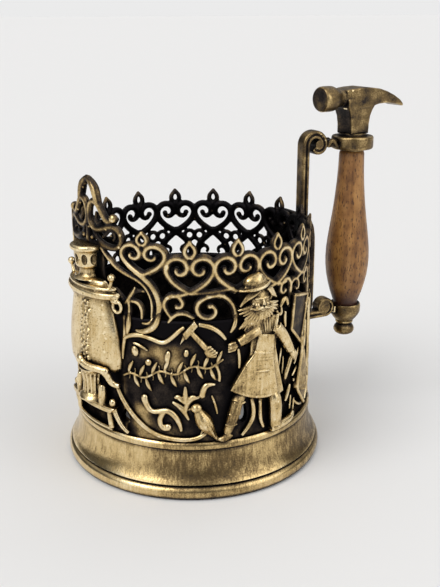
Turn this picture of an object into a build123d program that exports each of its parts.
from build123d import *
from math import cos, hypot, pi, radians, sin, sqrt
import os

# Tea glass holder with a pierced heart-and-scroll sleeve and a hammer for a handle.
# Millimetres and degrees. The cup's axis is Z, the table is z = 0, the handle lies along +X.

# Cup
GLASS_BORE_R = 34.0        # takes a tea glass of about 67 mm
WALL_T = 2.0               # thickness of the cast wall
SEAT_GAP = 0.05            # soldered seat between two pieces
BAND_TOP_Z = 53.2          # top of the solid lower band

# Foot
FOOT_FLARE = 4.35          # from the sleeve's seat to the edge of the bead
FOOT_H = 16.8
DRAWN_FOOT_H = 16.8        # the cup's heights are drawn over a foot this high and rise with it
BEAD_H = 4.1
COLLAR_T = 1.1             # collar round the sleeve's foot
COLLAR_H = 2.2
LEDGE_Z = 12.0             # ledge that carries the floor ring
LEDGE_W = 2.6
FLOOR_T = 1.6
FLOOR_HOLE_R = 24.0

# Heart frieze
HEART_Z = 61.0             # lower point of each heart
HEART_H = 12.0
HEART_W = 13.6
BAR_W = 1.7                # width of a scroll bar
FINIAL_H = 3.8
FRIEZE_COUNT = 17          # divisions of the frieze
CREST_PLACES = (8, 9)      # divisions taken by the crest
SCROLL_STEP = 45.0         # facet of a scroll
FACET_GAP = 0.03           # the frieze stands this far inside the band's two faces

# Reliefs
RELIEF_H = 2.4
LOW_RELIEF_H = 1.0
SAMOVAR_DEPTH = 11.5       # its belly's turning axis lies this far inside the wall's face
SAMOVAR_FOOT_Z = 25.0
SAMOVAR_TOP_Z = 72.0
CREST_Z = 71.0
CREST_H = 20.5
FIGURE_ANGLE = 275.0
BOARD_ANGLE = 300.0
CARTOUCHE_ANGLE = 236.0

# Handle
PLATE_W = 27.0
PLATE_T = 1.9
PLATE_BOTTOM_Z = 39.0
PLATE_TOP_Z = 72.0
STRAP_T = 2.6
STRAP_W = 4.2
FINGER_GAP = 10.0          # between strap and widest part of the grip
GRIP_BULGE_R = 7.3
GRIP_NECK_R = 4.1
GRIP_END_R = 4.05
GRIP_TOP_Z = 90.4
GRIP_BULGE_Z = 53.7
LOWER_COLLAR_Z = 32.0
LOWER_COLLAR_H = 6.0
LOWER_COLLAR_R = 5.3
CUP_FLOOR_T = 2.4
UPPER_COLLAR_H = 4.8
UPPER_COLLAR_R = 6.85
SPIGOT_R = 4.5
SLIP_GAP = 0.1             # wood and spigot in the collars
ROD_R = 1.5
ROD_GAP = 0.05
ROD_DEPTH = 9.0            # rod in the hammer head, above the collar
NUT_R = 3.55
NUT_H = 5.4
HAMMER_H = 14.9            # from the upper collar to the top of the head
POLL_R = 4.0
POLL_REACH = 14.7          # grip axis to the striking face
CLAW_REACH = 19.0          # grip axis to the claw's tip
HAMMER_TURN = 8.0          # the head stands a little askew on its grip
CHEEK_W = 8.0
NECK_W = 7.8

# Sizes that follow
WALL_IN = GLASS_BORE_R
WALL_OUT = WALL_IN + WALL_T
SEAT_R = WALL_OUT + SEAT_GAP
FOOT_R = SEAT_R + FOOT_FLARE
RISE = FOOT_H - DRAWN_FOOT_H
FLOOR_TOP_Z = LEDGE_Z + FLOOR_T
SLEEVE_Z = FLOOR_TOP_Z + SEAT_GAP
HALF_BAR = BAR_W / 2
PITCH = 360 / FRIEZE_COUNT
SAMOVAR_ANGLE = PITCH * CREST_PLACES[1]
PLATE_OUT = SEAT_R + PLATE_T
STRAP_X = PLATE_OUT + SEAT_GAP + STRAP_T / 2
GRIP_X = STRAP_X + STRAP_T / 2 + FINGER_GAP + GRIP_BULGE_R
UPPER_COLLAR_Z = GRIP_TOP_Z + 0.6
HAMMER_Z = UPPER_COLLAR_Z + UPPER_COLLAR_H + SEAT_GAP
CUP_Z = LOWER_COLLAR_Z + CUP_FLOOR_T
NUT_Z = LOWER_COLLAR_Z - SEAT_GAP - NUT_H


def wall_plane(angle):
    # Drawing plane on the cup's axis: x runs along the wall to the right, y is height.
    a = radians(angle)
    return Plane(origin=(0, 0, 0), x_dir=(-sin(a), cos(a), 0), z_dir=(cos(a), sin(a), 0))


def tube(inner, outer, bottom, top):
    return Pos(0, 0, bottom) * extrude(Circle(outer) - Circle(inner), amount=top - bottom)


def through_wall(sketch, angle, inner=WALL_IN, outer=WALL_OUT):
    # A flat drawing pressed square through the wall.
    start = inner * cos(radians(32))
    return extrude(wall_plane(angle).offset(start) * sketch, amount=outer + 1 - start)


def on_wall(sketch, angle, inner, outer):
    # The same, trimmed to two radii.
    return through_wall(sketch, angle, inner, outer) & tube(inner, outer, 1, 118)


def facet_tube(inner, outer, bottom, top):
    # A tube with two flats to each division of the frieze: flat scrolls keep their faces few.
    sides = 2 * FRIEZE_COUNT
    ring = RegularPolygon(outer, sides) - RegularPolygon(inner, sides, major_radius=False)
    return Pos(0, 0, bottom) * extrude(ring, amount=top - bottom)


def wall_points(points, angle):
    # Places given by angle and height, as seen square on at one angle.
    return [(WALL_OUT * sin(radians(a - angle)), z) for a, z in points]


def polygon(points):
    return make_face(Polyline(*points, close=True))


def stroke(points, first=HALF_BAR, last=HALF_BAR):
    # A bar along a line of points, its half width changing evenly from first to last.
    left, right = [], []
    ends = len(points) - 1
    for i, (x, y) in enumerate(points):
        before, after = points[max(i - 1, 0)], points[min(i + 1, ends)]
        dx, dy = after[0] - before[0], after[1] - before[1]
        half = (first + (last - first) * i / ends) / hypot(dx, dy)
        left.append((x - dy * half, y + dx * half))
        right.append((x + dy * half, y - dx * half))
    return polygon(left + right[::-1])


def spiral(x, y, start, end, first_r, last_r):
    count = max(2, round(abs(end - start) / SCROLL_STEP))
    points = []
    for i in range(count + 1):
        a = radians(start + (end - start) * i / count)
        r = first_r + (last_r - first_r) * i / count
        points.append((x + r * cos(a), y + r * sin(a)))
    return points


def teardrop(half_width, bottom, top, x=0.0, count=8):
    # Round below and pointed above.
    points = []
    for i in range(count):
        t = 2 * pi * i / count
        y = (bottom + top) / 2 + (top - bottom) / 2 * cos(t)
        points.append((x + half_width / 0.77 * sin(t) * sin(t / 2), y))
    return polygon(points)


def mirrored(sketch):
    return sketch + mirror(sketch, about=Plane.YZ)


def heart():
    # Two bars rise from the point, turn over in round lobes and hook inward at the top.
    lobe_r = HEART_W / 4 - HALF_BAR + 0.05
    x, y = HEART_W / 2 - HALF_BAR - lobe_r, HEART_H - HALF_BAR - lobe_r
    side = [(0, 0.6), (x * 0.75, y * 0.36), (x * 1.45, y * 0.70)]
    side += spiral(x, y, 0, 180, lobe_r, lobe_r)
    side += spiral(x, y, 210, 290, lobe_r * 0.85, lobe_r * 0.45)
    bars = mirrored(stroke(side, HALF_BAR, HALF_BAR * 0.7))
    stem = Pos(0, y + 1.6) * Rectangle(BAR_W, 4.2)
    finial = teardrop(2.0, HEART_H - 1.6, HEART_H - 0.8 + FINIAL_H)
    slit = teardrop(0.65, HEART_H - 0.3, HEART_H - 2.2 + FINIAL_H)
    return Pos(0, HEART_Z) * (bars + stem + finial - slit)


def volute_pair():
    # Front second row: a small curl to the left and a large one to the right of the point.
    small = [(0.3, 0.9), (-2.0, -0.4)] + spiral(-3.5, -3.0, 110, 390, 1.9, 0.8)
    large = [(-0.3, 0.9), (2.2, -0.5)] + spiral(3.0, -4.6, 70, -230, 3.0, 1.2)
    return Pos(0, HEART_Z) * (stroke(small, HALF_BAR, 0.5) + stroke(large, HALF_BAR, 0.6))


def arch_pair():
    # Back second row: the bars cross under the point and open into a round arch with curls.
    depth = HEART_Z - BAND_TOP_Z
    leg = [(-0.7, 1.2), (1.5, -1.0), (3.9, -3.2), (5.2, -5.6), (5.6, -depth - 0.8)]
    curl = [(2.6, -1.6)] + spiral(4.6, -0.9, 250, 430, 1.2, 0.7)
    return Pos(0, HEART_Z) * (mirrored(stroke(leg)) + mirrored(stroke(curl, 0.55, 0.45)))


def crest_shoulder():
    # Large C-scrolls that carry the frieze past the samovar, with a curl inside each.
    a = SAMOVAR_ANGLE + 24
    big = wall_points([(199, 69.4), (208, 68.2), (216, 66), (223, 62.6), (228.5, 58.4),
                       (230, 55), (228.5, 52.3)], a)
    curl = wall_points([(215.6, 52.6), (216.2, 55)], a)
    curl += spiral(curl[-1][0] + 2.2, 55.6, 165, -60, 2.1, 1.1)
    return stroke(big, 1.0, 1.0) + stroke(curl, 0.8, 0.55)


def heart_angles():
    # The handle stands midway between the last heart and the first.
    front = [PITCH * (i + 0.5) for i in range(CREST_PLACES[1] + 1, FRIEZE_COUNT)]
    back = [PITCH * (i + 0.5) for i in range(CREST_PLACES[0])]
    return front, back


def turned(solid, angle):
    return Rot(0, 0, angle) * solid


def sleeve():
    # All bars are joined as blocks and trimmed to the wall in one cut, then set on the band.
    band = tube(WALL_IN, WALL_OUT, SLEEVE_Z, BAND_TOP_Z)
    for angle, z, half_w, height in ((267.6, 21.5, 1.3, 7.0), (268.0, 44.6, 1.0, 3.4),
                                     (291.5, 24.0, 1.8, 6.5), (211.5, 19.9, 1.6, 5.0)):
        band -= through_wall(teardrop(half_w, z, z + height), angle, WALL_IN, WALL_OUT + 5)
    front, back = heart_angles()
    blocks = [through_wall(heart(), a) for a in front + back]
    blocks += [through_wall(volute_pair(), a) for a in front[1:]]
    blocks += [through_wall(arch_pair(), a) for a in back[:-1]]
    panel_h = CREST_Z - BAND_TOP_Z + 1
    panel = Pos(0, CREST_Z - panel_h / 2) * Rectangle(17, panel_h)
    blocks.append(through_wall(panel, SAMOVAR_ANGLE))
    shoulder = crest_shoulder()
    blocks.append(through_wall(shoulder, SAMOVAR_ANGLE + 24))
    blocks.append(through_wall(mirror(shoulder, about=Plane.YZ), SAMOVAR_ANGLE - 24))
    frieze = blocks[0] + blocks[1:]
    frieze &= facet_tube(WALL_IN + FACET_GAP, WALL_OUT - FACET_GAP, BAND_TOP_Z - 0.8, 118)
    return (band + frieze).solid()


def foot_ring():
    # Turned section: flat rest, bead, groove, hollow flare, collar, seat for the sleeve, ledge.
    inner = SEAT_R
    collar_r = inner + COLLAR_T
    ledge_r, ledge_z = inner - LEDGE_W, LEDGE_Z + RISE
    collar_z = FOOT_H - COLLAR_H
    bead = [(FOOT_R - 1.5, 0), (FOOT_R - 0.35, 0.8), (FOOT_R, BEAD_H / 2),
            (FOOT_R - 0.3, BEAD_H - 0.9), (FOOT_R - 1.2, BEAD_H), (FOOT_R - 1.6, BEAD_H + 0.3)]
    flare = [(inner + FOOT_FLARE * 0.82, BEAD_H + 0.6), (inner + FOOT_FLARE * 0.48, BEAD_H + 2.6),
             (inner + FOOT_FLARE * 0.27, BEAD_H + 5.2), (inner + 0.5, collar_z - 0.4)]
    ring = [(inner + 0.7, collar_z), (collar_r, collar_z + 0.7), (collar_r, FOOT_H - 0.7),
            (inner + 0.6, FOOT_H), (inner, FOOT_H)]
    inside = [(inner, ledge_z), (ledge_r, ledge_z), (ledge_r, ledge_z - 1.4),
              (FOOT_R - 3.2, 1.2), (FOOT_R - 3.2, 0)]
    return revolve(Plane.XZ * polygon(bead + flare + ring + inside))


def glass_floor():
    return tube(FLOOR_HOLE_R, WALL_OUT - 0.1, LEDGE_Z + SEAT_GAP, FLOOR_TOP_Z)


def samovar_r(half_width):
    # Turning radius that meets the wall's face at this half width.
    axis_r = WALL_OUT - SAMOVAR_DEPTH
    return hypot(half_width, sqrt(WALL_OUT ** 2 - half_width ** 2) - axis_r)


def samovar():
    # A turned belly sunk in the wall, a slimmer foot and crown on its face, two knobs, a stand.
    z0, z1 = SAMOVAR_FOOT_Z, SAMOVAR_TOP_Z
    stations = ((4.4, z0 + 9.4), (8.8, z0 + 10.6), (12.2, z0 + 12), (12.8, z0 + 15), (12.5, z0 + 19),
                (11.2, z0 + 25), (9.4, z0 + 30), (9.0, z0 + 32), (12.2, z0 + 33), (12.5, z0 + 36),
                (7.4, z0 + 37.2), (5.0, z0 + 37.8))
    belly = [(samovar_r(w), z) for w, z in stations]
    foot = [(4.6, z0), (2.8, z0 + 3), (2.9, z0 + 8), (4.2, z0 + 10)]
    crown = [(2.9, z0 + 37.4), (2.7, z0 + 40.4), (3.8, z0 + 41.4), (4.1, z1 - 1.9), (5.0, z1 - 1.3),
             (5.0, z1)]
    body = None
    for line, axis_r in ((belly, WALL_OUT - SAMOVAR_DEPTH), (foot, WALL_OUT), (crown, WALL_OUT)):
        face = polygon([(0, line[0][1])] + line + [(0, line[-1][1])])
        ring = Pos(axis_r, 0, 0) * revolve(Plane.XZ * face)
        body = body + ring if body else ring
    knob = revolve(Plane.XZ * polygon([(0, -1.5), (0.8, -1.5), (0.8, 0.9), (1.4, 1.5), (1.4, 2.5),
                                       (0.6, 3.3), (0, 3.3)]))
    for side in (-1, 1):
        body += Pos(WALL_OUT - 1, side * 10.4, z0 + 37) * knob
    body = turned(body, SAMOVAR_ANGLE) - Cylinder(SEAT_R, 240)
    stand_h = z0 - DRAWN_FOOT_H - 0.3
    stand = Pos(0, z0 - stand_h / 2) * Rectangle(17, stand_h)
    stand -= Pos(0, 19.6) * Rectangle(12, 3.4)
    return (body + on_wall(stand, SAMOVAR_ANGLE, SEAT_R, SEAT_R + RELIEF_H)).solid()


def samovar_tap(body):
    # A bent pipe that leaves the body low down and turns to the right.
    points = []
    for along, z, out in ((0, 37.6, 4.6), (4.2, 37.0, 4.2), (7.6, 34.2, 2.8), (10.6, 32.0, 1.5)):
        a = radians(SAMOVAR_ANGLE) + along / WALL_OUT
        points.append(((SEAT_R + out) * cos(a), (SEAT_R + out) * sin(a), z))
    path = Polyline(*points)
    section = Plane(path @ 0, z_dir=path % 0) * RegularPolygon(1.15, 12)
    pipe = sweep(section, path=path, transition=Transition.RIGHT)
    return (pipe - body - Cylinder(SEAT_R, 240)).solid()


def samovar_crest():
    # A pointed loop over an open eye, S-arms with balls and a ring at each side, on a foot rail.
    z0, z1 = CREST_Z + SEAT_GAP, CREST_Z + CREST_H
    loop = teardrop(4.8, z1 - 9.2, z1) - teardrop(2.6, z1 - 7.2, z1 - 2.4)
    eye = Pos(0, z0 + 8.6) * (Ellipse(4.8, 5.6) - Ellipse(3.0, 3.7))
    arm = [(0, z1 - 6.4), (3.4, z1 - 7.6), (5.8, z1 - 11.2), (8.2, z1 - 13.0), (10.2, z1 - 12.2)]
    arms = mirrored(stroke(arm, 0.9, 0.9) + Pos(10.4, z1 - 11.0) * Circle(1.5))
    rings = mirrored(Pos(10.0, z0 + 4.2) * (Circle(4.1) - Circle(2.5)))
    rail = Pos(0, z0 + 0.7) * Rectangle(20, 1.4)
    sketch = loop + eye + arms + rings + rail
    crest = through_wall(sketch, SAMOVAR_ANGLE)
    return (crest & facet_tube(WALL_IN + FACET_GAP, WALL_OUT - FACET_GAP, 1, 118)).solid()


def apron_figure():
    # Layers of relief: legs and coat low, apron, arms and beard higher, hat on top.
    def layer(points, height):
        face = polygon(wall_points(points, FIGURE_ANGLE))
        return on_wall(face, FIGURE_ANGLE, SEAT_R, SEAT_R + height)

    def limb(points, first, last, height):
        bar = stroke(wall_points(points, FIGURE_ANGLE), first, last)
        return on_wall(bar, FIGURE_ANGLE, SEAT_R, SEAT_R + height)

    full, mid = RELIEF_H, RELIEF_H * 0.75
    coat = layer([(270, 50), (284, 50), (284.5, 42), (288, 31), (276, 29.4), (262, 31.6),
                  (271, 41)], mid)
    bib = layer([(273, 49.4), (281, 49.2), (281.6, 41), (284, 33), (275, 31), (266.5, 33),
                 (272.4, 41)], full)
    stride = limb([(269, 33), (265.5, 27), (262, 21.5), (259.6, 18.6)], 2.0, 1.3, mid)
    stand = limb([(283, 33), (284, 26), (284.4, 19)], 2.1, 1.6, mid)
    shoes = limb([(263.5, 18.7), (256.5, 18.4)], 1.2, 0.8, full)
    shoes += limb([(281.5, 18.7), (297.5, 18.4)], 1.3, 0.7, full)
    left_arm = limb([(273, 48.6), (266.5, 48.2), (260.6, 45.8)], 2.0, 1.5, full)
    right_arm = limb([(282.5, 48.6), (288.5, 45), (296, 38.4)], 2.1, 1.5, full)
    head = on_wall(Pos(-1.2, 58.2) * Ellipse(2.7, 3.6), FIGURE_ANGLE, SEAT_R, SEAT_R + full)
    beard = layer([(267, 58), (267, 53), (272, 49.4), (278, 52), (281, 57)], RELIEF_H * 1.15)
    brim = limb([(263.8, 61.4), (279.6, 63.6)], 0.9, 0.9, RELIEF_H * 1.3)
    crown = layer([(266.4, 61.6), (267.6, 65.6), (272, 66.4), (276.6, 65.6), (277, 63)], full)
    return coat + [bib, stride, stand, shoes, left_arm, right_arm, head, beard, brim, crown]


def low_relief(sketch, angle):
    return on_wall(sketch, angle, SEAT_R, SEAT_R + LOW_RELIEF_H)


def cartouche_rim():
    lower = [(208.5, 30.4), (212.5, 27), (217, 24), (222, 21.6), (228, 19.8), (235, 18.6),
             (243, 18.4)]
    upper = [(212, 45.6), (216, 48), (221, 49), (227, 48), (232, 47.2), (237, 49.8)]
    right = [(251, 52.0), (254.4, 51.0), (257.4, 49.0)]
    bars = [stroke(wall_points(line, CARTOUCHE_ANGLE), 0.7, 0.7) for line in (lower, upper, right)]
    return low_relief(bars[0] + bars[1:], CARTOUCHE_ANGLE)


def hammer_emblem():
    shaft = stroke([(0.2, -0.4), (6.2, -7.6)], 0.9, 1.2)
    head = stroke([(-2.4, -2.0), (2.6, 2.4)], 1.5, 1.5)
    return low_relief(Pos(0, 51) * (shaft + head), 243.0)


def songbird():
    # Head, round breast and a tail that points down to the right.
    body = stroke([(-2.6, 26.6), (-0.8, 24.4), (1.0, 21.8), (2.8, 19.2)], 1.7, 0.7)
    head = Pos(-3.0, 27.6) * Circle(1.6)
    beak = polygon([(-4.2, 28.3), (-6.4, 27.5), (-4.2, 26.9)])
    return low_relief(body + head + beak, 250.0)


def leaf_sprigs():
    # Separate drops, a three-leaf sprig and a pair of curls on the cartouche ground.
    drops = ((219, 43.4), (226, 39.8), (234, 42.4))
    pieces = [low_relief(teardrop(0.9, z, z + 3.4), a) for a, z in drops]
    sprig = teardrop(0.9, 29.6, 34.6)
    sprig += mirrored(stroke([(0, 30.2), (1.6, 31.4), (2.2, 33.2)], 0.8, 0.4))
    pieces.append(low_relief(sprig, 241.0))
    curl = [(-3.4, 26.0), (-0.8, 27.4)] + spiral(1.6, 25.2, 100, -200, 2.5, 0.9)
    pieces.append(low_relief(stroke(curl, 0.8, 0.5), 226.0))
    curl = [(-2.0, 26.6), (-1.4, 23.6)] + spiral(1.4, 23.6, 200, 480, 2.3, 0.9)
    pieces.append(low_relief(stroke(curl, 0.8, 0.5), 236.5))
    return Compound(children=[solid for piece in pieces for solid in piece.solids()])


def board():
    # A leaning plank and a fan-shaped blade in front of it.
    plank = polygon(wall_points([(294.6, 46.4), (303, 40.8), (309.5, 54.5), (296.5, 56.2)], BOARD_ANGLE))
    fan = polygon(wall_points([(302.6, 43), (306, 43), (308, 38), (313, 25), (307.2, 20.2), (298.3, 27.3),
                               (303.6, 38)], BOARD_ANGLE))
    plank = on_wall(plank, BOARD_ANGLE, SEAT_R, SEAT_R + RELIEF_H * 0.55)
    return plank + on_wall(fan, BOARD_ANGLE, SEAT_R, SEAT_R + RELIEF_H * 0.7)


def handle_plate():
    height = PLATE_TOP_Z - PLATE_BOTTOM_Z
    outline = Pos(0, PLATE_BOTTOM_Z + height / 2) * RectangleRounded(PLATE_W, height, 5)
    return on_wall(outline, 0, SEAT_R, PLATE_OUT)


def handle_strap():
    # One strip: rolled over at the top, turned out at the bottom and rolled up at its end.
    bend, roll, top_r = 3.0, 2.0, 3.3
    arm_z = LOWER_COLLAR_Z + 3.9
    roll_x = GRIP_X - LOWER_COLLAR_R - SEAT_GAP - 0.4 - roll - STRAP_T / 2
    top_z = UPPER_COLLAR_Z + 2.2
    path = Line((STRAP_X, arm_z + bend), (STRAP_X, top_z))
    path += CenterArc((STRAP_X + top_r, top_z), top_r, 180, -180)
    path += CenterArc((STRAP_X + top_r * 2 - 1.9, top_z), 1.9, 0, -150)
    path += CenterArc((STRAP_X + bend, arm_z + bend), bend, 180, 90)
    path += Line((STRAP_X + bend, arm_z), (roll_x, arm_z))
    path += CenterArc((roll_x, arm_z + roll), roll, 270, 240)
    strip = trace(path, STRAP_T)
    return extrude(Plane.XZ * strip, amount=STRAP_W / 2, both=True)


def upper_collar():
    ring = Pos(GRIP_X, 0, 0) * tube(SPIGOT_R + SLIP_GAP, UPPER_COLLAR_R, UPPER_COLLAR_Z,
                                    UPPER_COLLAR_Z + UPPER_COLLAR_H)
    left = STRAP_X + 6.6 + STRAP_T / 2 + SEAT_GAP
    right = GRIP_X - UPPER_COLLAR_R + 0.9
    lug = Pos((left + right) / 2, 0, UPPER_COLLAR_Z + 2.2) * Box(right - left, STRAP_W - 0.4, 3.4)
    return ring + lug


def lower_collar():
    # A cup for the grip's end, with a lug that meets the strap's roll.
    z0, z1 = LOWER_COLLAR_Z, LOWER_COLLAR_Z + LOWER_COLLAR_H
    rod, wood = ROD_R + ROD_GAP, GRIP_END_R + SLIP_GAP
    bowl = [(rod, z0), (3.4, z0), (LOWER_COLLAR_R - 0.4, CUP_Z), (LOWER_COLLAR_R, CUP_Z + 0.8),
            (LOWER_COLLAR_R, z1), (wood, z1), (wood, CUP_Z), (rod, CUP_Z)]
    cup = revolve(Plane.XZ * polygon(bowl))
    lug = Pos(-LOWER_COLLAR_R + 0.2, 0, z0 + 4.6) * Box(1.2, STRAP_W - 0.4, 2.4)
    return Pos(GRIP_X, 0, 0) * (cup + (lug - Cylinder(LOWER_COLLAR_R - 0.5, 200)))


def wooden_grip():
    z0, z1 = CUP_Z + SEAT_GAP, GRIP_TOP_Z
    rim = LOWER_COLLAR_Z + LOWER_COLLAR_H
    bulge_z = GRIP_BULGE_Z
    swell = [(GRIP_END_R, rim + 0.6), (5.4, rim + 4.4), (6.7, bulge_z - 5.6), (GRIP_BULGE_R, bulge_z),
             (6.9, bulge_z + 6.6), (5.7, bulge_z + 14), (4.7, bulge_z + 21.6)]
    top = [(GRIP_NECK_R, z1 - 2.4), (GRIP_NECK_R - 0.1, z1 - 0.7), (GRIP_NECK_R - 0.7, z1)]
    bore = ROD_R + ROD_GAP
    inside = [(bore, z1), (bore, z0), (GRIP_END_R, z0)]
    return Pos(GRIP_X, 0, 0) * revolve(Plane.XZ * polygon(swell + top + inside))


def hammer_head():
    # Tapering neck, side view of top and claw pressed across, turned poll, split claw.
    top = HAMMER_H
    neck = loft([Rectangle(NECK_W, NECK_W - 0.6), Pos(0, 0, 8.6) * Rectangle(11.4, CHEEK_W)])
    claw_top = ThreePointArc((-2.0, top), (CLAW_REACH * 0.55, top - 1.3), (CLAW_REACH, top - 6.6))
    claw_tip = Line((CLAW_REACH, top - 6.6), (CLAW_REACH - 0.4, top - 7.4))
    claw_low = ThreePointArc((CLAW_REACH - 0.4, top - 7.4), (CLAW_REACH * 0.62, top - 4.9),
                             (5.5, 8.4))
    back = Polyline((5.5, 8.4), (-5.6, 8.4), (-5.8, top - 1.0), (-4.6, top), (-2.0, top))
    side = make_face([claw_top, claw_tip, claw_low, back])
    head = neck + extrude(Plane.XZ * side, amount=CHEEK_W / 2, both=True)
    split = polygon([(CLAW_REACH * 0.5, 0), (CLAW_REACH + 1, -1.5), (CLAW_REACH + 1, 1.5)])
    head -= extrude(split, amount=top + 5)
    poll_z = top - POLL_R + 0.6
    poll_line = Polyline((0, 5.0), (2.8, 5.0), (2.8, 7.6), (POLL_R, 8.4),
                         (POLL_R, POLL_REACH - 0.5), (POLL_R - 0.5, POLL_REACH), (0, POLL_REACH),
                         close=True)
    poll = revolve(Plane.XZ * make_face(poll_line))
    head += Pos(0, 0, poll_z) * Rot(0, -90, 0) * poll
    spigot_h = HAMMER_Z - GRIP_TOP_Z - SEAT_GAP
    head += Pos(0, 0, 0.25 - spigot_h / 2) * Cylinder(SPIGOT_R, spigot_h + 0.5)
    head -= Cylinder(ROD_R + ROD_GAP, 2 * ROD_DEPTH)
    return Pos(GRIP_X, 0, HAMMER_Z) * Rot(0, 0, HAMMER_TURN) * head


def tie_rod():
    bottom, top = NUT_Z + 1.6, HAMMER_Z + ROD_DEPTH - 0.3
    return Pos(GRIP_X, 0, (bottom + top) / 2) * Cylinder(ROD_R, top - bottom)


def finial_nut():
    # Waisted bead on the rod's lower end.
    bore, h = ROD_R + ROD_GAP, NUT_H
    flange = [(bore, h), (NUT_R - 0.5, h), (NUT_R - 0.5, h - 0.8), (NUT_R - 1.0, h - 1.4)]
    bead = [(NUT_R - 0.2, h - 2.3), (NUT_R, h * 0.42), (NUT_R - 0.6, 0.9), (1.4, 0), (0, 0)]
    inside = [(0, 1.4), (bore, 1.4)]
    return Pos(GRIP_X, 0, NUT_Z) * revolve(Plane.XZ * polygon(flange + bead + inside))


os.makedirs("parts", exist_ok=True)
samovar_body = samovar()
nodes = {
    "foot_ring": foot_ring(),
    "glass_floor": glass_floor(),
    "sleeve": sleeve(),
    "samovar_crest": samovar_crest(),
    "samovar": samovar_body,
    "samovar_tap": samovar_tap(samovar_body),
    "apron_figure": apron_figure(),
    "hammer_emblem": hammer_emblem(),
    "songbird": songbird(),
    "leaf_sprigs": leaf_sprigs(),
    "cartouche_rim": cartouche_rim(),
    "board": board(),
    "handle_plate": handle_plate(),
    "handle_strap": handle_strap(),
    "upper_collar": upper_collar(),
    "lower_collar": lower_collar(),
    "wooden_grip": wooden_grip(),
    "hammer_head": hammer_head(),
    "tie_rod": tie_rod(),
    "finial_nut": finial_nut(),
}
for name, shape in nodes.items():
    if name != "foot_ring":
        shape = Pos(0, 0, RISE) * shape
    export_step(shape, f"parts/{name}.step")
